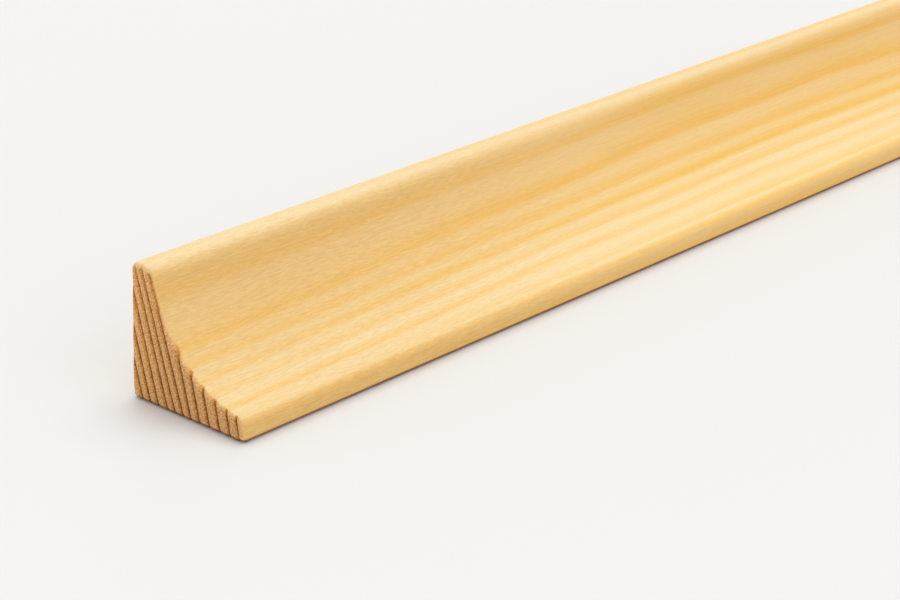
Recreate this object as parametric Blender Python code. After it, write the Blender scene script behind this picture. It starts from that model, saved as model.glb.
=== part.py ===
"""Scotia moulding: a straight length of softwood trim with a hollow quarter-round face.

The section lies in the YZ plane and runs along X. The flat back is on the +Y side, the flat base is
at Z = 0, and the hollow faces -Y and up. The origin is the middle of the base. Metres, +Z up.

In the section, u is the distance from the back towards the toe and v is the height above the base.
"""

import math

import bmesh
import bpy

# Overall size
LENGTH = 0.300
HEIGHT = 0.028
DEPTH = 0.030

# Section: the hollow's circle passes through the top at the nose's thickness and through the
# front at the toe's height, and the arrises then round those two corners off.
NOSE_THICKNESS = 0.0057
TOE_HEIGHT = 0.0049
COVE_RADIUS = 0.0258

# Radii of the eased arrises along the length
BACK_ARRIS = 0.0018
NOSE_ARRIS = 0.0030
TOE_ARRIS = 0.0020
FRONT_BASE_ARRIS = 0.0008
BACK_BASE_ARRIS = 0.0008

# Radius of the eased arris all round each cut end
END_ARRIS = 0.0011

# An arris of the section still has this radius where an end's rounding has cut it right back
SMALLEST_ARRIS = 0.0001

# Facets
COVE_STEPS = 40
ARRIS_STEPS = 6
END_STEPS = 4
SMOOTH_BELOW = math.radians(28)

PINE_COLOUR = (0.87, 0.62, 0.28, 1.0)
PINE_ROUGHNESS = 0.6


def clear_scene():
    for obj in list(bpy.data.objects):
        bpy.data.objects.remove(obj)


def pine_material():
    material = bpy.data.materials.new("pine")
    material.use_nodes = True
    shader = material.node_tree.nodes["Principled BSDF"]
    shader.inputs["Base Color"].default_value = PINE_COLOUR
    shader.inputs["Roughness"].default_value = PINE_ROUGHNESS
    shader.inputs["Metallic"].default_value = 0.0
    return material


def arc(centre, radius, start, end, steps):
    """Points on a circle from one angle to another, both ends included."""
    angles = [start + (end - start) * k / steps for k in range(steps + 1)]
    return [(centre[0] + radius * math.cos(a), centre[1] + radius * math.sin(a)) for a in angles]


def cove_centre():
    """Centre of the hollow's circle, on the open side of the line from the nose to the toe."""
    run = DEPTH - NOSE_THICKNESS
    rise = HEIGHT - TOE_HEIGHT
    chord = math.hypot(run, rise)
    away = math.sqrt(COVE_RADIUS**2 - (chord / 2) ** 2)
    middle_u = (NOSE_THICKNESS + DEPTH) / 2
    middle_v = (HEIGHT + TOE_HEIGHT) / 2
    return middle_u + away * rise / chord, middle_v + away * run / chord


def section(inset):
    """The closed outline as (u, v) points, moved into the wood by inset all round.

    It runs along the base, up the front lip, over the hollow and the nose and down the back.
    """
    top, front = HEIGHT - inset, DEPTH - inset
    cove_u, cove_v = cove_centre()
    cove_radius = COVE_RADIUS + inset
    full_radii = (BACK_ARRIS, NOSE_ARRIS, TOE_ARRIS, FRONT_BASE_ARRIS, BACK_BASE_ARRIS)
    back, nose, toe, front_base, back_base = (max(r - inset, SMALLEST_ARRIS) for r in full_radii)

    # An arris of radius r that rolls from a flat onto the hollow has its centre r from the flat
    # and r outside the hollow's circle.
    toe_u = front - toe
    toe_v = cove_v - math.sqrt((cove_radius + toe) ** 2 - (cove_u - toe_u) ** 2)
    nose_v = top - nose
    nose_u = cove_u - math.sqrt((cove_radius + nose) ** 2 - (cove_v - nose_v) ** 2)
    toe_end = math.atan2(cove_v - toe_v, cove_u - toe_u)
    nose_start = math.atan2(cove_v - nose_v, cove_u - nose_u)

    quarter = math.pi / 2
    hollow = arc((cove_u, cove_v), cove_radius, toe_end + math.pi, nose_start + math.pi, COVE_STEPS)
    return [
        *arc((front - front_base, inset + front_base), front_base, -quarter, 0, ARRIS_STEPS),
        *arc((toe_u, toe_v), toe, 0, toe_end, ARRIS_STEPS),
        *hollow[1:-1],
        *arc((nose_u, nose_v), nose, nose_start, quarter, ARRIS_STEPS),
        *arc((inset + back, top - back), back, quarter, 2 * quarter, ARRIS_STEPS),
        *arc((inset + back_base, inset + back_base), back_base, 2 * quarter, 3 * quarter, ARRIS_STEPS),
    ]


def stations():
    """(x, inset) of each outline along the length: the ends' eased arrises turn inwards."""
    turns = [math.pi / 2 * k / END_STEPS for k in range(END_STEPS + 1)]
    eased = [(LENGTH / 2 - END_ARRIS * (1 - math.cos(t)), END_ARRIS * (1 - math.sin(t))) for t in turns]
    return [(-x, inset) for x, inset in eased] + list(reversed(eased))


def moulding_mesh():
    """The outlines skinned along X, with a flat cap on each end."""
    bm = bmesh.new()
    loops = []
    for x, inset in stations():
        loops.append([bm.verts.new((x, DEPTH / 2 - u, v)) for u, v in section(inset)])
    for left, right in zip(loops, loops[1:]):
        for k in range(len(left)):
            bm.faces.new((left[k], left[k - 1], right[k - 1], right[k]))
    bm.faces.new(loops[0])
    bm.faces.new(reversed(loops[-1]))
    bmesh.ops.recalc_face_normals(bm, faces=bm.faces)
    mesh = bpy.data.meshes.new("scotia_moulding")
    bm.to_mesh(mesh)
    bm.free()
    mesh.shade_smooth()
    mesh.set_sharp_from_angle(angle=SMOOTH_BELOW)
    return mesh


def main():
    clear_scene()
    mesh = moulding_mesh()
    mesh.materials.append(pine_material())
    moulding = bpy.data.objects.new("scotia_moulding", mesh)
    bpy.context.scene.collection.objects.link(moulding)


main()
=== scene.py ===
"""Looks of the scotia moulding: its finely shaped softwood piece, the floor, the light and the camera.

In the section, u is the distance from the back towards the toe and v is the height above the base.
Along the piece, x is the distance from the near end, which is the one at the lowest X.
The grain is made of growth rings. A ring number counts the dark lines on the cut ends: it is whole
on a line and rises with u. It is worked out in three dimensions, so the lines on the ends and the
streaks on the long faces belong to the same wood. Metres, +Z up.
"""

import math

import bpy
import numpy as np
from mathutils import Matrix, Vector
from mathutils.geometry import delaunay_2d_cdt


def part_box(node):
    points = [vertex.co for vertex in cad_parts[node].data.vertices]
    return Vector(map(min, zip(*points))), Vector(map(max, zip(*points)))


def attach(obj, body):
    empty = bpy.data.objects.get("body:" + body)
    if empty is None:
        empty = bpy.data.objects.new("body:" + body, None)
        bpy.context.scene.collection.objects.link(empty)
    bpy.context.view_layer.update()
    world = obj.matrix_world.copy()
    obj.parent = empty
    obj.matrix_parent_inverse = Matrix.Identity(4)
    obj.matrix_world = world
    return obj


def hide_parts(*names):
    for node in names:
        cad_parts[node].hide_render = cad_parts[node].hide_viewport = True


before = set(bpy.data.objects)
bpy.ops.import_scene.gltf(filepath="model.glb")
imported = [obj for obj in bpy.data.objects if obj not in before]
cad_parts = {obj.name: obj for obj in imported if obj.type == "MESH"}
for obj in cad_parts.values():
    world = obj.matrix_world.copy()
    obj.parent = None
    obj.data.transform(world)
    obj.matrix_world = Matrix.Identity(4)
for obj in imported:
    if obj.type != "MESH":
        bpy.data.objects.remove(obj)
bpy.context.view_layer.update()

NODE = "scotia_moulding"
LOW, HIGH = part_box(NODE)
LENGTH, DEPTH, HEIGHT = (HIGH[k] - LOW[k] for k in range(3))
MM = 0.001

# Section, as in the solid
NOSE_THICKNESS = 5.7 * MM
TOE_HEIGHT = 4.9 * MM
COVE_RADIUS = 25.8 * MM
BACK_ARRIS = 1.8 * MM
NOSE_ARRIS = 3.0 * MM
TOE_ARRIS = 2.0 * MM
FRONT_BASE_ARRIS = 0.8 * MM
BACK_BASE_ARRIS = 0.8 * MM
END_ARRIS = 1.1 * MM
SMALLEST_ARRIS = 0.1 * MM

# Steps of the outline on each stretch, from the front of the base over the hollow to the back
FRONT_BASE_STEPS = 5
LIP_STEPS = 8
TOE_STEPS = 8
COVE_STEPS = 110
NOSE_STEPS = 10
TOP_STEPS = 6
BACK_ARRIS_STEPS = 9
BACK_STEPS = 50
BACK_BASE_STEPS = 5
BASE_STEPS = 56
STEPS_BEFORE_BACK = (
    FRONT_BASE_STEPS + LIP_STEPS + TOE_STEPS + COVE_STEPS + NOSE_STEPS + TOP_STEPS + BACK_ARRIS_STEPS
)

# The outline is this much finer at the ends, where it carries the grooves of the end grain
END_REFINE = 4

# Loops along the piece: round the arris of an end, along its notches, and between the notched parts
END_STEPS = 8
NOTCH_STEPS = 5
BODY_STEPS = 80

# How far the notches run along the long faces, and the share of an arris's radius that one may take
NOTCH_REACH = 2 * MM
NOTCH_ROOM = 0.7

# End face: distance between its points across and along the rings, and clear of its rim. The pitch
# only turns a distance across the rings into a step of their numbers.
ACROSS = 0.1 * MM
ALONG = 0.34 * MM
RIM_CLEARANCE = 0.07 * MM
RING_PITCH = 2.3 * MM

# End face: triangles are kept inside the rim alone, and points this near, in mm, are one. The last
# number keeps a division clear of zero.
INSIDE_ONLY = 1
SAME_POINT = 1e-7
TINY = 1e-18

# Grooves of the end grain at its dark lines, their width in rings, and the rounded bands between them
GROOVE_DEPTH = 0.25 * MM
GROOVE_WIDTH = 0.075
GROOVE_SHARE_AT_FOOT = 0.6
PILLOW_DEPTH = 0.14 * MM
PILLOW_DEPTH_AT_FOOT = 0.80 * MM
PILLOW_ROUNDNESS = 0.80

# Growth rings 0 to 15, one row each: distance of the line from the back in mm, at RING_LEVEL on the near
# end; how far it leans back for each unit of height; how far it has moved towards the back at full
# drift, in mm; strength of its streak on the long faces, at the near end and further on; and where in
# the ring that streak is centred, at the near end and further on
RING_LEVEL = 2 * MM
RINGS = np.array([
    (0.45, 0.310, 0.00, 0.25, 0.25, -0.30, -0.30),
    (2.67, 0.310, 0.00, 0.35, 0.30, -0.30, -0.30),
    (4.72, 0.310, 0.00, 0.40, 0.40, -0.30, -0.30),
    (6.90, 0.300, 0.00, 0.30, 0.35, -0.30, -0.30),
    (9.40, 0.325, 0.00, 0.10, 0.10, -0.30, -0.30),
    (11.37, 0.330, 0.00, 0.10, 0.40, -0.10, -0.10),
    (13.60, 0.345, 0.00, 0.00, 0.00, 0.00, 0.00),
    (15.72, 0.288, 1.95, 0.50, 0.78, -0.03, -0.30),
    (18.05, 0.260, 2.50, 0.55, 0.75, -0.25, -0.25),
    (20.67, 0.250, 2.70, 0.52, 1.00, -0.32, -0.32),
    (23.42, 0.230, 2.80, 0.40, 0.70, -0.30, -0.32),
    (26.15, 0.220, 3.50, 0.60, 0.54, 0.07, -0.04),
    (28.60, 0.220, 0.70, 0.18, 0.58, 0.25, -0.06),
    (30.60, 0.220, 0.70, 0.34, 0.66, -0.12, -0.08),
    (32.70, 0.220, 1.20, 0.35, 0.35, -0.30, -0.30),
    (34.80, 0.220, 1.20, 0.20, 0.20, -0.30, -0.30),
])
LINE_COLUMNS = slice(0, 3)
STRENGTH_COLUMNS = slice(3, 5)
CENTRE_COLUMNS = slice(5, 7)

# The streaks change between these distances, and this is their half width, in rings: towards the back
# at the near end and further on, and towards the toe
STREAK_CHANGE = (20 * MM, 170 * MM)
STREAK_INNER = (0.37, 0.43)
STREAK_OUTER = 0.26

# Ring 6 grazes the upper part of the hollow and shows there as one more band: distance from the near
# end and height of its middle, both in mm; its strength, its half width and how much wider it is above
# its middle, each near and further on; and the ring where it is centred with its half width there
GRAZE_AT = [(0, 22.5), (50, 22.8), (75, 23.3), (120, 23.5), (160, 24.6), (230, 24.6), (300, 24.4)]
GRAZE_STRENGTH = (0.42, 0.50)
GRAZE_WIDTH = (1.6 * MM, 0.9 * MM)
GRAZE_WIDER_ABOVE = (1.8, 0.9)
GRAZE_RING = 6.1
GRAZE_RANGE = 0.35

# Distance from the near end in mm, and share of the full drift there, for the rings towards the back and
# for the rings towards the toe. Between the two rings named below, one share passes into the other.
DRIFT = np.array([
    (0, 0.00, 0.00),
    (50, 0.37, 0.42),
    (75, 0.53, 0.66),
    (100, 0.65, 0.85),
    (125, 0.73, 0.92),
    (150, 0.85, 0.93),
    (172, 0.94, 1.00),
    (230, 0.90, 0.96),
    (300, 0.62, 0.65),
])
BACK_DRIFT = [0, 1]
TOE_DRIFT = [0, 2]
DRIFT_RINGS = (8, 10)

# A slow wave of the lines along the piece, and how far it turns from one ring to the next
WOBBLE = 0.08 * MM
WOBBLE_LENGTH = 74 * MM
WOBBLE_TURN = 1.1

# Steps of the search for a ring number
HALVINGS = 24


def arc(centre, radius, start, end, steps, hollow=False):
    """Points on a circle, the outward normals and the room inside it, with the end left out."""
    angles = start + (end - start) * np.arange(steps) / steps
    ways = np.stack([np.cos(angles), np.sin(angles)], 1)
    room = np.full(steps, math.inf if hollow else radius)
    return np.array(centre) + radius * ways, -ways if hollow else ways, room


def line(start, end, normal, steps):
    """Points on a straight stretch, the outward normals and the room inside, with the end left out."""
    start, end = np.array(start), np.array(end)
    points = start + (end - start) * (np.arange(steps) / steps)[:, None]
    return points, np.tile(np.array(normal, float), (steps, 1)), np.full(steps, math.inf)


def cove_centre():
    """Centre of the hollow's circle, on the open side of the line from the nose to the toe."""
    run = DEPTH - NOSE_THICKNESS
    rise = HEIGHT - TOE_HEIGHT
    chord = math.hypot(run, rise)
    away = math.sqrt(COVE_RADIUS**2 - (chord / 2) ** 2)
    middle_u = (NOSE_THICKNESS + DEPTH) / 2
    middle_v = (HEIGHT + TOE_HEIGHT) / 2
    return middle_u + away * rise / chord, middle_v + away * run / chord


def outline(inset=0.0, refine=1):
    """The closed outline, moved into the wood by inset: points, outward normals and arris radii."""
    top, front = HEIGHT - inset, DEPTH - inset
    cove_u, cove_v = cove_centre()
    cove_radius = COVE_RADIUS + inset
    full_radii = (BACK_ARRIS, NOSE_ARRIS, TOE_ARRIS, FRONT_BASE_ARRIS, BACK_BASE_ARRIS)
    back, nose, toe, front_base, back_base = (max(r - inset, SMALLEST_ARRIS) for r in full_radii)
    toe_u = front - toe
    toe_v = cove_v - math.sqrt((cove_radius + toe) ** 2 - (cove_u - toe_u) ** 2)
    nose_v = top - nose
    nose_u = cove_u - math.sqrt((cove_radius + nose) ** 2 - (cove_v - nose_v) ** 2)
    toe_end = math.atan2(cove_v - toe_v, cove_u - toe_u)
    nose_start = math.atan2(cove_v - nose_v, cove_u - nose_u)
    from_toe, to_nose = toe_end + math.pi, nose_start + math.pi
    turn = math.pi / 2
    stretches = [
        arc((front - front_base, inset + front_base), front_base, -turn, 0, refine * FRONT_BASE_STEPS),
        line((front, inset + front_base), (front, toe_v), (1, 0), refine * LIP_STEPS),
        arc((toe_u, toe_v), toe, 0, toe_end, refine * TOE_STEPS),
        arc((cove_u, cove_v), cove_radius, from_toe, to_nose, refine * COVE_STEPS, hollow=True),
        arc((nose_u, nose_v), nose, nose_start, turn, refine * NOSE_STEPS),
        line((nose_u, top), (inset + back, top), (0, 1), refine * TOP_STEPS),
        arc((inset + back, top - back), back, turn, 2 * turn, refine * BACK_ARRIS_STEPS),
        line((inset, top - back), (inset, inset + back_base), (-1, 0), refine * BACK_STEPS),
        arc((inset + back_base,) * 2, back_base, 2 * turn, 3 * turn, refine * BACK_BASE_STEPS),
        line((inset + back_base, inset), (front - front_base, inset), (0, -1), refine * BASE_STEPS),
    ]
    return [np.concatenate(parts) for parts in zip(*stretches)]


def smooth_curve(knots, at):
    """A curve through the knots without corners, by Hermite pieces."""
    x, y = np.array(knots, float).T
    slope = np.gradient(y, x)
    k = np.clip(np.searchsorted(x, at) - 1, 0, len(x) - 2)
    span = x[k + 1] - x[k]
    t = (at - x[k]) / span
    start = y[k] * (1 + 2 * t) * (1 - t) ** 2 + span * slope[k] * t * (1 - t) ** 2
    end = y[k + 1] * t**2 * (3 - 2 * t) + span * slope[k + 1] * t**2 * (t - 1)
    return start + end


def ring_number(x, u, v):
    """The growth ring at points of the wood, found by halving, as it rises with u."""
    x = np.broadcast_to(x, u.shape)
    lines, leans, shifts = RINGS.T[LINE_COLUMNS]
    numbers = np.arange(len(lines))
    drift_back, drift_toe = (smooth_curve(DRIFT[:, part], x / MM) for part in (BACK_DRIFT, TOE_DRIFT))
    grown = np.minimum(x / WOBBLE_LENGTH, 1)
    low, high = np.zeros(len(u)), np.full(len(u), numbers[-1], float)
    for _ in range(HALVINGS):
        ring = (low + high) / 2
        lean = np.interp(ring, numbers, leans)
        shift = np.interp(ring, numbers, shifts) * MM
        drift = drift_back + (drift_toe - drift_back) * np.interp(ring, DRIFT_RINGS, (0, 1))
        wobble = WOBBLE * np.sin(2 * math.pi * x / WOBBLE_LENGTH + WOBBLE_TURN * ring) * grown
        place = np.interp(ring, numbers, lines) * MM
        beyond = place - lean * (v - RING_LEVEL) - shift * drift - wobble > u
        high = np.where(beyond, ring, high)
        low = np.where(beyond, low, ring)
    return (low + high) / 2


def streak_strength(x, v, ring):
    """How amber the long faces are at points of the wood, from 0 to about 1."""
    start, end = STREAK_CHANGE
    far = np.clip((x - start) / (end - start), 0, 1)

    def along(near_value, far_value):
        return near_value * (1 - far) + far_value * far

    above = (v - smooth_curve(GRAZE_AT, x / MM) * MM) / along(*GRAZE_WIDTH)
    above = np.where(above > 0, above / along(*GRAZE_WIDER_ABOVE), above)
    aside = (ring - GRAZE_RING) / GRAZE_RANGE
    total = along(*GRAZE_STRENGTH) * np.exp(-above**2 - aside**4)
    for number, row in enumerate(RINGS):
        offset = ring - number - along(*row[CENTRE_COLUMNS])
        width = np.where(offset < 0, along(*STREAK_INNER), STREAK_OUTER)
        total = total + along(*row[STRENGTH_COLUMNS]) * np.exp(-((offset / width) ** 2))
    return total


def groove_depth(ring, reach=0.0, foot=0.0):
    """Depth of the end grain's surface below the highest part of its bands.

    reach goes from 0 on the end face to 1 on a long face, and foot is how far the outline faces down.
    """
    from_line = ring - np.round(ring)
    groove = GROOVE_DEPTH * np.exp(-((from_line / GROOVE_WIDTH) ** 2))
    left = 1 - reach * (1 - GROOVE_SHARE_AT_FOOT * foot)
    pillow = 1 - np.sqrt(1 - PILLOW_ROUNDNESS * (1 - 2 * np.abs(from_line)) ** 2)
    deepest = PILLOW_DEPTH + (PILLOW_DEPTH_AT_FOOT - PILLOW_DEPTH) * reach * foot
    return groove * left + deepest * pillow


def facing_down(normals):
    """1 where the outline faces down, 0 where it faces up."""
    return (1 - normals[:, 1]) / 2


class Wood:
    """Vertices and faces of the piece, with what the material and the bake map need at each."""

    def __init__(self):
        self.places = []
        self.reaches = []
        self.rises = []
        self.rings = []
        self.faces = []
        self.maps = []
        self.count = 0

    def add(self, x, points, reach, rise, depth=0.0, way=(0.0, 0.0, 0.0)):
        """Adds points of the section at x, sunk by depth against way, and returns their numbers.

        reach goes from 0 on an end face to 1 at the end of its arris, and grows by 1 for each mm of the
        long face from there. rise is how far the surface looks up, from -1 to 1.
        """
        u, v = points.T
        x, reach, rise = (np.broadcast_to(value, u.shape) for value in (x, reach, rise))
        place = [x - depth * way[0], u - depth * way[1], v - depth * way[2]]
        self.places.append(np.stack(place, 1))
        self.reaches.append(reach)
        self.rises.append(rise)
        self.rings.append(ring_number(x, u, v))
        first = self.count
        self.count += len(x)
        return np.arange(first, self.count)

    def face(self, corners, spots, flip=False):
        """Adds a face with its corners' spots on the bake map, the other way round where flip is true."""
        order = -1 if flip else 1
        self.faces.append([int(c) for c in corners[::order]])
        self.maps.extend(spots[::order])


# Bake map: the long faces take the lower part, with less room for the back and the base, and the ends
# take two tiles above. A tile's side spans the end face with room round it for its arris.
MAP_MARGIN = 0.01
MAP_WRAP_TOP = 0.62
MAP_BACK_SHARE = 0.5
MAP_TILE_BASE = 0.645
MAP_TILE_STEP = 0.40
MAP_TILE_SIDE = 0.345
MAP_TILE_SPAN = 31.5 * MM
MAP_TILE_ROOM = 0.7 * MM
MAP_TILE_SCALE = MAP_TILE_SIDE / MAP_TILE_SPAN


def wrap_heights(refine):
    """Height on the bake map of each point of the outline, and of the closing one."""
    points, _, _ = outline(0.0, refine)
    closed = np.vstack([points, points[:1]])
    steps = np.linalg.norm(np.diff(closed, axis=0), axis=1)
    steps[refine * STEPS_BEFORE_BACK:] *= MAP_BACK_SHARE
    run = np.r_[0, np.cumsum(steps)]
    return MAP_MARGIN + (MAP_WRAP_TOP - MAP_MARGIN) * run / run[-1]


def wrap_spots(x, heights):
    """Spots on the bake map of the outline at x."""
    across = MAP_MARGIN + (1 - 2 * MAP_MARGIN) * x / LENGTH
    return np.stack([np.full(len(heights), across), heights], 1)


def strip(wood, left, right, spots_left, spots_right, flip=False):
    """Quads between two loops of equal length. The spots have one more entry, for the closing point."""
    count = len(left)
    for k in range(count):
        after = (k + 1) % count
        corners = (left[k], right[k], right[after], left[after])
        spots = (spots_left[k], spots_right[k], spots_right[k + 1], spots_left[k + 1])
        wood.face(corners, spots, flip)


def fan_strip(wood, fine, coarse, spots_fine, spots_coarse, flip):
    """Triangles from a fine loop to a coarse one whose points are every END_REFINE-th of it."""
    count, half = len(coarse), END_REFINE // 2
    for k in range(count):
        near = (coarse[k], spots_coarse[k])
        far = (coarse[(k + 1) % count], spots_coarse[k + 1])
        base = k * END_REFINE
        triangles = []
        for step in range(END_REFINE):
            a, b = base + step, base + step + 1
            tip = near if step < half else far
            triangles.append(((fine[a], spots_fine[a]), tip, (fine[b % len(fine)], spots_fine[b])))
        middle = base + half
        triangles.append(((fine[middle], spots_fine[middle]), near, far))
        for triangle in triangles:
            wood.face(*zip(*triangle), flip)


def inside(points, rim):
    """Which points lie inside the rim and at least RIM_CLEARANCE from it."""
    after = np.roll(rim, -1, axis=0)
    crossings = np.zeros(len(points), int)
    nearest = np.full(len(points), np.inf)
    for (u0, v0), (u1, v1) in zip(rim, after):
        spans = (v0 > points[:, 1]) != (v1 > points[:, 1])
        rise = v1 - v0 if v1 != v0 else 1.0
        crossings += spans & (points[:, 0] < u0 + (u1 - u0) * (points[:, 1] - v0) / rise)
        edge = np.array([u1 - u0, v1 - v0])
        away = points - (u0, v0)
        along = np.clip(away @ edge / max(edge @ edge, TINY), 0, 1)
        nearest = np.minimum(nearest, np.linalg.norm(away - along[:, None] * edge, axis=1))
    return points[(crossings % 2 == 1) & (nearest > RIM_CLEARANCE)]


def face_points(x, rim):
    """Points of an end face on lines that follow the rings."""
    number = np.arange(0, len(RINGS) - 1, ACROSS / RING_PITCH)
    height = np.arange(0, HEIGHT, ALONG)
    at, lean, shift = (np.interp(number, range(len(RINGS)), column) for column in RINGS.T[LINE_COLUMNS])
    at, shift = at * MM, shift * MM * smooth_curve(DRIFT[:, BACK_DRIFT], np.array([x / MM]))
    u = at[None] - lean * (height[:, None] - RING_LEVEL) - shift
    v = height[:, None] + np.where(np.arange(len(number)) % 2, ALONG / 2, 0)[None]
    return inside(np.stack([u.ravel(), v.ravel()], 1), rim)


def end(wood, near):
    """One cut end: its eased arris, its face and the notches that run a little way onto the long faces.

    Returns the last, fine loop and its distance from the near end.
    """
    side = -1 if near else 1
    flip = not near
    tile_left = MAP_MARGIN + (0 if near else MAP_TILE_STEP)

    def x_at(behind):
        """Distance from the near end of what lies this far behind the end face."""
        return behind if near else LENGTH - behind

    def tile(points):
        """Spots on the end's tile of the bake map."""
        return np.stack([
            tile_left + (points[:, 0] + MAP_TILE_ROOM) * MAP_TILE_SCALE,
            MAP_TILE_BASE + (points[:, 1] + MAP_TILE_ROOM) * MAP_TILE_SCALE,
        ], 1)

    # Arris, from the rim of the end face round to the long faces
    rim, rim_normals, _ = outline(END_ARRIS, END_REFINE)
    loops, spots = [], []
    for step in range(END_STEPS + 1):
        reach = step / END_STEPS
        angle = reach * math.pi / 2
        out = math.sin(angle)
        x = x_at(END_ARRIS * (1 - math.cos(angle)))
        points, normals, room = outline(END_ARRIS * (1 - out), END_REFINE)
        sunk = groove_depth(ring_number(x, *points.T), reach, facing_down(normals))
        depth = np.minimum(sunk, NOTCH_ROOM * room / max(out, NOTCH_ROOM))
        way = (side * math.cos(angle), normals[:, 0] * out, normals[:, 1] * out)
        loops.append(wood.add(x, points, reach, normals[:, 1] * out, depth, way))
        spots.append(tile(rim + rim_normals * END_ARRIS * angle))
    for k in range(END_STEPS):
        closed = [np.vstack([s, s[:1]]) for s in spots[k:k + 2]]
        strip(wood, loops[k], loops[k + 1], *closed, flip)

    # End face, as triangles between its rim and the points inside it
    x = x_at(0.0)
    inner = face_points(x, rim)
    depth = groove_depth(ring_number(x, *inner.T))
    numbers = np.r_[loops[0], wood.add(x, inner, 0.0, 0.0, depth, (side, 0.0, 0.0))]
    flat = np.vstack([rim, inner])
    flat_spots = tile(flat)
    flat_mm = [Vector(point) for point in (flat / MM).tolist()]
    rim_edges = [(k, (k + 1) % len(rim)) for k in range(len(rim))]
    _, _, triangles, came_from, _, _ = delaunay_2d_cdt(flat_mm, rim_edges, [], INSIDE_ONLY, SAME_POINT)
    for triangle in triangles:
        corners = [came_from[c][0] for c in triangle]
        wood.face([numbers[c] for c in corners], [flat_spots[c] for c in corners], flip)

    # Notches, which fade out along the long faces
    points, normals, room = outline(0.0, END_REFINE)
    heights = wrap_heights(END_REFINE)
    last, last_x = loops[-1], x_at(END_ARRIS)
    for step in range(1, NOTCH_STEPS + 1):
        behind = END_ARRIS + NOTCH_REACH * step / NOTCH_STEPS
        x = x_at(behind)
        fade = (1 - step / NOTCH_STEPS) ** 2
        sunk = groove_depth(ring_number(x, *points.T), 1.0, facing_down(normals))
        depth = np.minimum(sunk, NOTCH_ROOM * room) * fade
        reach = 1 + (behind - END_ARRIS) / MM
        loop = wood.add(x, points, reach, normals[:, 1], depth, (0.0, normals[:, 0], normals[:, 1]))
        strip(wood, last, loop, wrap_spots(last_x, heights), wrap_spots(x, heights), flip)
        last, last_x = loop, x
    return last, last_x


def moulding():
    """The piece: its two ends and the long faces between them."""
    wood = Wood()
    near_loop, near_x = end(wood, near=True)
    far_loop, far_x = end(wood, near=False)
    points, normals, _ = outline()
    fine_heights = wrap_heights(END_REFINE)
    heights = wrap_heights(1)
    stations = np.linspace(near_x, far_x, BODY_STEPS + 1)[1:-1]
    reaches = 1 + (np.minimum(stations, LENGTH - stations) - END_ARRIS) / MM
    loops = [wood.add(x, points, reach, normals[:, 1]) for x, reach in zip(stations, reaches)]
    spots = [wrap_spots(x, heights) for x in stations]
    for k in range(len(loops) - 1):
        strip(wood, loops[k], loops[k + 1], spots[k], spots[k + 1])
    fan_strip(wood, near_loop, loops[0], wrap_spots(near_x, fine_heights), spots[0], flip=False)
    fan_strip(wood, far_loop, loops[-1], wrap_spots(far_x, fine_heights), spots[-1], flip=True)

    x, u, v = np.concatenate(wood.places).T
    places = np.stack([LOW[0] + x, HIGH[1] - u, LOW[2] + v], 1)
    mesh = bpy.data.meshes.new("moulding")
    mesh.from_pydata(places.tolist(), [], wood.faces)
    ring = np.concatenate(wood.rings)
    values = {
        "ring": ring,
        "streak": streak_strength(x, v, ring),
        "reach": np.concatenate(wood.reaches),
        "rise": np.concatenate(wood.rises),
    }
    for name, data in values.items():
        mesh.attributes.new(name, "FLOAT", "POINT").data.foreach_set("value", data.astype(np.float32))
    bake_map = mesh.uv_layers.new(name="OFBake")
    bake_map.uv.foreach_set("vector", np.array(wood.maps, np.float32).ravel())
    mesh.shade_smooth()
    mesh.validate()
    piece = bpy.data.objects.new("moulding", mesh)
    bpy.context.scene.collection.objects.link(piece)
    return piece


# Sockets of a Mix node for numbers and for colours: its share, what it mixes, and the result
NUMBER_SOCKETS = (0, 2, 3)
NUMBER_RESULT = 0
COLOUR_SOCKETS = (0, 6, 7)
COLOUR_RESULT = 2


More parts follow.
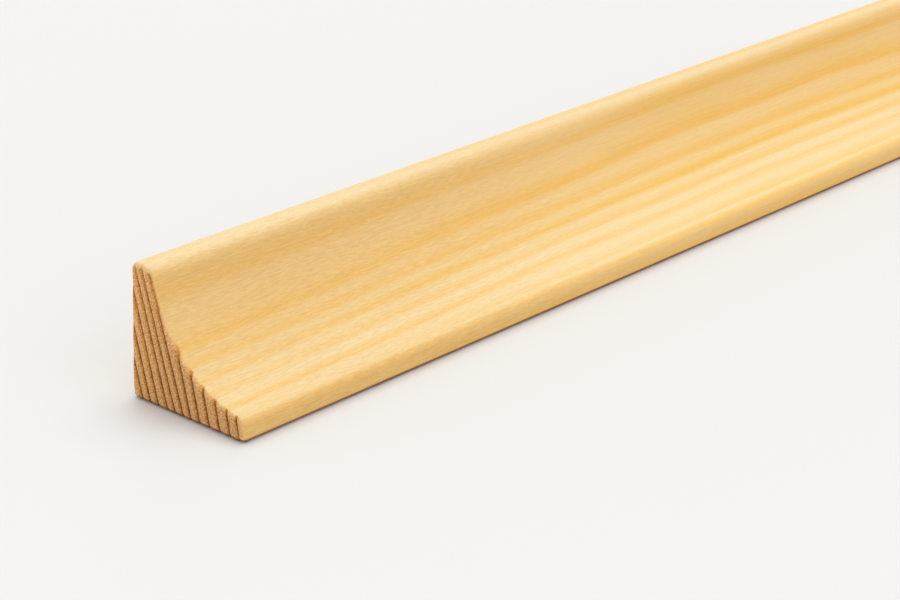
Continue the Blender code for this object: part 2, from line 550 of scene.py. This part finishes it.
class Shader:
    """A material's nodes, made one call each."""

    def __init__(self, name):
        self.material = bpy.data.materials.new(name)
        self.material.use_nodes = True
        self.nodes = self.material.node_tree.nodes
        self.links = self.material.node_tree.links
        self.surface = self.nodes["Principled BSDF"]

    def fill(self, socket, value):
        """Links the socket to another node's, or sets it to a number or colour."""
        if isinstance(value, bpy.types.NodeSocket):
            self.links.new(value, socket)
        else:
            socket.default_value = value

    def math(self, operation, *values):
        node = self.nodes.new("ShaderNodeMath")
        node.operation = operation
        for socket, value in zip(node.inputs, values):
            self.fill(socket, value)
        return node.outputs[0]

    def attribute(self, name):
        node = self.nodes.new("ShaderNodeAttribute")
        node.attribute_name = name
        return node.outputs["Fac"]

    def noise(self, size, detail, roughness, tilt=0.0):
        """Noise from 0 to 1, with features of that size in metres along X, Y and Z, tilted about Y."""
        turned = self.nodes.new("ShaderNodeMapping")
        self.links.new(self.place(), turned.inputs["Vector"])
        turned.inputs["Rotation"].default_value = (0, tilt, 0)
        mapping = self.nodes.new("ShaderNodeMapping")
        self.links.new(turned.outputs["Vector"], mapping.inputs["Vector"])
        mapping.inputs["Scale"].default_value = [1 / s for s in size]
        node = self.nodes.new("ShaderNodeTexNoise")
        self.links.new(mapping.outputs["Vector"], node.inputs["Vector"])
        node.inputs["Scale"].default_value = 1.0
        node.inputs["Detail"].default_value = detail
        node.inputs["Roughness"].default_value = roughness
        return node.outputs["Fac"]

    def place(self):
        if "place" not in self.nodes:
            self.nodes.new("ShaderNodeTexCoord").name = "place"
        return self.nodes["place"].outputs["Object"]

    def along(self, axis):
        """Place along X, Y or Z, in metres."""
        node = self.nodes.new("ShaderNodeSeparateXYZ")
        self.links.new(self.place(), node.inputs[0])
        return node.outputs[axis]

    def ramp(self, value, low, high, to_low=0.0, to_high=1.0, smooth=True):
        """What the value turns into as it goes from low to high, held beyond them."""
        node = self.nodes.new("ShaderNodeMapRange")
        node.interpolation_type = "SMOOTHSTEP" if smooth else "LINEAR"
        for socket, number in zip(node.inputs, (value, low, high, to_low, to_high)):
            self.fill(socket, number)
        return node.outputs["Result"]

    def mix_value(self, share, first, second):
        node = self.nodes.new("ShaderNodeMix")
        for number, value in zip(NUMBER_SOCKETS, (share, first, second)):
            self.fill(node.inputs[number], value)
        return node.outputs[NUMBER_RESULT]

    def mix(self, share, first, second, blend="MIX"):
        node = self.nodes.new("ShaderNodeMix")
        node.data_type = "RGBA"
        node.blend_type = blend
        for number, value in zip(COLOUR_SOCKETS, (share, first, second)):
            self.fill(node.inputs[number], value)
        return node.outputs[COLOUR_RESULT]

    def shade(self, colour, value):
        """The colour with its brightness multiplied by value."""
        node = self.nodes.new("ShaderNodeVectorMath")
        node.operation = "SCALE"
        self.fill(node.inputs[0], colour)
        self.fill(node.inputs["Scale"], value)
        return node.outputs[0]

    def bump(self, height, distance, strength, normal=None):
        node = self.nodes.new("ShaderNodeBump")
        node.inputs["Strength"].default_value = strength
        node.inputs["Distance"].default_value = distance
        self.fill(node.inputs["Height"], height)
        if normal:
            self.fill(node.inputs["Normal"], normal)
        return node.outputs["Normal"]


# Colours of the long faces where they look up and where they stand or look down. They are painted light
# and painted shade: paler where a face looks up towards the lamps, deeper amber where it stands or looks
# down
PAINTED_LIT_WOOD = (0.720, 0.580, 0.352, 1.0)
PAINTED_SHADED_WOOD = (0.745, 0.532, 0.252, 1.0)

# Tints that multiply them: in a streak, towards the near end, at the top and in the ripple
AMBER_TINT = (1.0, 0.80, 0.28, 1.0)
NEAR_TONE = (0.935, 0.895, 0.81, 1.0)
TOP_TONE = (0.960, 0.930, 0.865, 1.0)
RIPPLE_TONE = (0.925, 0.870, 0.760, 1.0)

# Colours of the end grain: early wood, late wood, and its lines on the face and round the arris
END_LIGHT = (0.645, 0.380, 0.166, 1.0)
END_DARK = (0.500, 0.240, 0.070, 1.0)
END_LINE = (0.235, 0.085, 0.017, 1.0)
RIM_LINE = (0.480, 0.225, 0.060, 1.0)

# Tint of its open pores, and painted contact shade: the dark brown that darkens the wood close to the
# floor
DOT_TONE = (0.57, 0.46, 0.34, 1.0)
PAINTED_CONTACT_SHADE = (0.280, 0.088, 0.010, 1.0)
PAINTED_CONTACT_SHARE = 0.95

# Noise: size of its features along X, Y and Z, detail and roughness
CLOUD = ((60 * MM, 2.4 * MM, 2.4 * MM), 2.0, 0.5)
FIBRE = ((16 * MM, 0.32 * MM, 0.32 * MM), 3.0, 0.55)
RIPPLE = ((2.6 * MM, 0.24 * MM, 0.24 * MM), 2.0, 0.65)
RAY = ((0.6 * MM, 0.22 * MM, 1.8 * MM), 2.0, 0.5)
SPECK = ((0.4 * MM, 0.45 * MM, 0.3 * MM), 2.0, 0.7)
WAVER = ((0.5 * MM, 0.5 * MM, 0.6 * MM), 2.0, 0.6)
NOISE_MIDDLE = 0.5
RIPPLE_TILT = math.radians(-2)

# Each ramp below has the low and high end of what goes in, and then what these turn into, unless that
# is 0 and 1. Its name says what comes out, and what goes in or where it counts.

# Long faces
CALM_BY_X = (-110 * MM, -10 * MM, 0.0, 0.75)
STREAK_BY_FIBRE = (0.25, 0.75, 0.85, 1.15)
STREAK_BY_CLOUD = (0.3, 0.7, -0.03, 0.09)
# Painted light: the long faces turn to the paler colour as they look up
PAINTED_LIT_BY_RISE = (0.5, 0.97)
TOP_BY_HEIGHT = (26 * MM, 27.6 * MM)
NEAR_BY_X = (-130 * MM, 10 * MM, 1.0, 0.0)
LIGHT_BY_FIBRE = (0.25, 0.75, 1.03, 0.97)
TONE_BY_RIPPLE = (0.36, 0.64)
LONG_LIGHT = 1.04

# End grain. A phase is the share of the way from one line to the next.
RING_BY_WAVER = (0.2, 0.8, -0.06, 0.06)
LATER_BY_RING = (6.0, 10.0, 0.0, 0.12)
LATE_BY_PHASE = (0.50, 0.88)
TO_LINE_BY_PHASE = (0.84, 0.96)
FROM_LINE_BY_PHASE = (0.01, 0.10, 1.0, 0.0)
# Partly painted shade: the lines keep their own dark colour but are darkest low down and fade upwards
DARK_BY_HEIGHT = (2 * MM, 22 * MM, 1.0, 0.72)
DARK_NEAR_TOP = (21 * MM, 27 * MM, 1.0, 0.55)
RIM_BY_REACH = (0.1, 1.1)
DOTS_BY_SPECK = (0.62, 0.36)
DOTS_BY_REACH = (0.1, 0.9, 1.0, 0.2)
LIGHT_BY_RAY = (0.3, 0.7, 0.90, 1.10)
LIGHT_BY_Y = (7 * MM, 15 * MM, 1.0, 1.10)
# Painted light: the end face grows lighter towards the top
LIGHT_BY_HEIGHT = (2 * MM, 26 * MM, 1.15, 1.30)

# Reach where the end grain gives way to the long faces, and how gradually it does
# Where the arris looks up and along the top, the end grain gives way sooner: painted light, paling it to
# the long faces' colour
EDGE_BY_RISE = (0.7, 1.0, 0.85, 0.40)
EDGE_BY_HEIGHT = (25.2 * MM, 27.3 * MM, 0.85, 0.02)
EDGE_AT_FRONT = (-14.8 * MM, -12.6 * MM, 0.60, 0.85)
EDGE_AT_BACK = (14.7 * MM, 13.7 * MM, 0.10, 0.85)
EDGE_BY_SPECK = (0.25, 0.75, -0.05, 0.05)
EDGE_BY_LATE_WOOD = 0.22
END_BY_EDGE = (-0.35, 0.15, 1.0, 0.0)
END_AT_FRONT = (-14.5 * MM, -13.0 * MM, 0.55, 1.0)

# Painted contact shade on the wood close to the floor
CONTACT_SHADE_BY_HEIGHT = (0.85 * MM, 0.58 * MM)
CONTACT_SHADE_BY_RISE = (-0.995, -0.95)

# Surface: gloss of the long faces and the end grain, and height and strength of each bump
ROUGHNESS_BY_FIBRE = (0.2, 0.8, 0.46, 0.58)
WOOD_SPECULAR = 0.35
END_SPECULAR = 0.08
FINE_BUMP = (0.07 * MM, 0.6)
FIBRE_BUMP = (0.02 * MM, 0.4)


def pine():
    """The wood: long faces and end grain, with the place where one gives way to the other."""
    s = Shader("pine")
    streak = s.attribute("streak")
    ring = s.attribute("ring")
    reach = s.attribute("reach")
    rise = s.attribute("rise")
    height = s.along("Z")

    cloud = s.noise(*CLOUD)
    fibre = s.noise(*FIBRE)
    ripple = s.noise(*RIPPLE, tilt=RIPPLE_TILT)
    ripple = s.mix_value(s.ramp(s.along("X"), *CALM_BY_X), ripple, NOISE_MIDDLE)
    ray = s.noise(*RAY)
    speck = s.noise(*SPECK)

    amount = s.math("MULTIPLY", streak, s.ramp(fibre, *STREAK_BY_FIBRE, smooth=False))
    amount = s.math("ADD", amount, s.ramp(cloud, *STREAK_BY_CLOUD, smooth=False))
    amount = s.math("MAXIMUM", amount, 0.0)
    # Painted light and shade: the long faces paler where they look up, deeper amber where they stand or
    # look down
    plain = s.mix(s.ramp(rise, *PAINTED_LIT_BY_RISE), PAINTED_SHADED_WOOD, PAINTED_LIT_WOOD)
    long_colour = s.mix(amount, plain, AMBER_TINT, "MULTIPLY")
    top = s.ramp(height, *TOP_BY_HEIGHT)
    nearness = s.ramp(s.along("X"), *NEAR_BY_X)
    nearness = s.math("MULTIPLY", nearness, s.math("SUBTRACT", 1.0, top))
    long_colour = s.mix(nearness, long_colour, NEAR_TONE, "MULTIPLY")
    long_colour = s.mix(top, long_colour, TOP_TONE, "MULTIPLY")
    long_colour = s.shade(long_colour, s.ramp(fibre, *LIGHT_BY_FIBRE, smooth=False))
    long_colour = s.mix(s.ramp(ripple, *TONE_BY_RIPPLE), long_colour, RIPPLE_TONE, "MULTIPLY")
    long_colour = s.shade(long_colour, LONG_LIGHT)

    waver = s.ramp(s.noise(*WAVER), *RING_BY_WAVER, smooth=False)
    phase = s.math("FRACT", s.math("ADD", ring, waver))
    late = s.ramp(s.math("SUBTRACT", phase, s.ramp(ring, *LATER_BY_RING)), *LATE_BY_PHASE)
    to_line = s.ramp(phase, *TO_LINE_BY_PHASE)
    from_line = s.ramp(phase, *FROM_LINE_BY_PHASE)
    dark = s.math("MAXIMUM", to_line, from_line)
    # Painted shade: the lines darker low down
    dark = s.math("MULTIPLY", dark, s.ramp(height, *DARK_BY_HEIGHT, smooth=False))
    dark = s.math("MULTIPLY", dark, s.ramp(height, *DARK_NEAR_TOP))
    line_colour = s.mix(s.ramp(reach, *RIM_BY_REACH), END_LINE, RIM_LINE)
    end_colour = s.mix(late, END_LIGHT, END_DARK)
    end_colour = s.mix(dark, end_colour, line_colour)
    dots = s.math("MULTIPLY", s.ramp(speck, *DOTS_BY_SPECK), s.ramp(reach, *DOTS_BY_REACH))
    end_colour = s.mix(dots, end_colour, DOT_TONE, "MULTIPLY")
    end_colour = s.shade(end_colour, s.ramp(ray, *LIGHT_BY_RAY, smooth=False))
    end_colour = s.shade(end_colour, s.ramp(s.along("Y"), *LIGHT_BY_Y, smooth=False))
    # Painted light: the end face lighter towards the top
    end_colour = s.shade(end_colour, s.ramp(height, *LIGHT_BY_HEIGHT, smooth=False))

    # Painted light: the end grain gives way sooner where the arris looks up and near the top
    low_edge = s.ramp(rise, *EDGE_BY_RISE)
    high_edge = s.ramp(height, *EDGE_BY_HEIGHT)
    front_edge = s.ramp(s.along("Y"), *EDGE_AT_FRONT)
    back_edge = s.ramp(s.along("Y"), *EDGE_AT_BACK)
    limit = s.math("MINIMUM", low_edge, high_edge)
    limit = s.math("MINIMUM", limit, s.math("MINIMUM", front_edge, back_edge))
    edge = s.math("SUBTRACT", reach, limit)
    edge = s.math("ADD", edge, s.ramp(speck, *EDGE_BY_SPECK, smooth=False))
    late_or_line = s.math("MAXIMUM", late, from_line)
    edge = s.math("SUBTRACT", edge, s.math("MULTIPLY", late_or_line, EDGE_BY_LATE_WOOD))
    is_end = s.ramp(edge, *END_BY_EDGE)
    is_end = s.math("MULTIPLY", is_end, s.ramp(s.along("Y"), *END_AT_FRONT))
    colour = s.mix(is_end, long_colour, end_colour)
    # Painted contact shade: the lowest edge of the wood turns dark brown where it meets the floor
    contact_shade = s.math("MULTIPLY", s.ramp(height, *CONTACT_SHADE_BY_HEIGHT), s.ramp(rise, *CONTACT_SHADE_BY_RISE))
    colour = s.mix(s.math("MULTIPLY", contact_shade, PAINTED_CONTACT_SHARE), colour, PAINTED_CONTACT_SHADE)

    s.fill(s.surface.inputs["Base Color"], colour)
    s.fill(s.surface.inputs["Roughness"], s.ramp(fibre, *ROUGHNESS_BY_FIBRE, smooth=False))
    s.fill(s.surface.inputs["Specular IOR Level"], s.mix_value(is_end, WOOD_SPECULAR, END_SPECULAR))
    fine = s.bump(s.mix_value(is_end, ripple, speck), *FINE_BUMP)
    s.fill(s.surface.inputs["Normal"], s.bump(fibre, *FIBRE_BUMP, fine))
    return s.material


FLOOR_SIZE = 30.0
FLOOR_DROP = 0.02 * MM
FLOOR_COLOUR = (0.643, 0.643, 0.645, 1.0)
FLOOR_ROUGHNESS = 0.5
FLOOR_SPECULAR = 0.3


def floor():
    """A plain pale floor, just below the base."""
    half = FLOOR_SIZE / 2
    mesh = bpy.data.meshes.new("floor")
    corners = [(-half, -half), (half, -half), (half, half), (-half, half)]
    mesh.from_pydata([(x, y, LOW[2] - FLOOR_DROP) for x, y in corners], [], [(0, 1, 2, 3)])
    s = Shader("floor")
    s.surface.inputs["Base Color"].default_value = FLOOR_COLOUR
    s.surface.inputs["Roughness"].default_value = FLOOR_ROUGHNESS
    s.surface.inputs["Specular IOR Level"].default_value = FLOOR_SPECULAR
    mesh.materials.append(s.material)
    piece = bpy.data.objects.new("floor", mesh)
    bpy.context.scene.collection.objects.link(piece)


# Light from all round, and two soft lamps: name, strength, where it shines from, how many degrees wide
# it looks, and colour
SKY_COLOUR = (0.926, 0.920, 0.908, 1.0)
LAMP_COLOUR = (1.0, 0.985, 0.96)
LAMPS = [
    ("softbox", 1.40, (0.30, 0.22, 1.0), 50, LAMP_COLOUR),
    ("fill", 0.45, (-0.25, -1.0, 0.55), 60, LAMP_COLOUR),
]


def light():
    world = bpy.data.worlds.new("studio")
    bpy.context.scene.world = world
    world.use_nodes = True
    world.node_tree.nodes["Background"].inputs["Color"].default_value = SKY_COLOUR
    for name, strength, shines_from, wide, colour in LAMPS:
        lamp = bpy.data.lights.new(name, "SUN")
        lamp.energy = strength
        lamp.angle = math.radians(wide)
        lamp.color = colour
        sun = bpy.data.objects.new(name, lamp)
        sun.rotation_euler = Vector(shines_from).to_track_quat("Z", "Y").to_euler()
        bpy.context.scene.collection.objects.link(sun)


# Camera, fitted to the photograph's edges: heading is counted from +X towards +Y. Lens and sensor are
# in mm, and what it sees lies between the two clip distances.
CAMERA_AT = (-0.46154, -0.32504, 0.21248)
CAMERA_HEADING = math.radians(40.026)
CAMERA_DOWN = math.radians(22.577)
CAMERA_ROLL = math.radians(2.162)
CAMERA_LENS = 105.64
SENSOR_WIDTH = 36.0
CLIP_START = 0.01
CLIP_END = 100.0


def camera():
    data = bpy.data.cameras.new("camera")
    data.lens = CAMERA_LENS
    data.sensor_width = SENSOR_WIDTH
    data.sensor_fit = "HORIZONTAL"
    data.clip_start = CLIP_START
    data.clip_end = CLIP_END
    view = bpy.data.objects.new("camera", data)
    heading = Matrix.Rotation(CAMERA_HEADING - math.pi / 2, 4, "Z")
    pitch = Matrix.Rotation(math.pi / 2 - CAMERA_DOWN, 4, "X")
    roll = Matrix.Rotation(CAMERA_ROLL, 4, "Z")
    view.matrix_world = Matrix.Translation(CAMERA_AT) @ heading @ pitch @ roll
    bpy.context.scene.collection.objects.link(view)
    bpy.context.scene.camera = view


piece = moulding()
piece.data.materials.append(pine())
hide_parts(NODE)
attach(piece, "root")
floor()
light()
camera()
bpy.context.scene.view_settings.view_transform = "Standard"
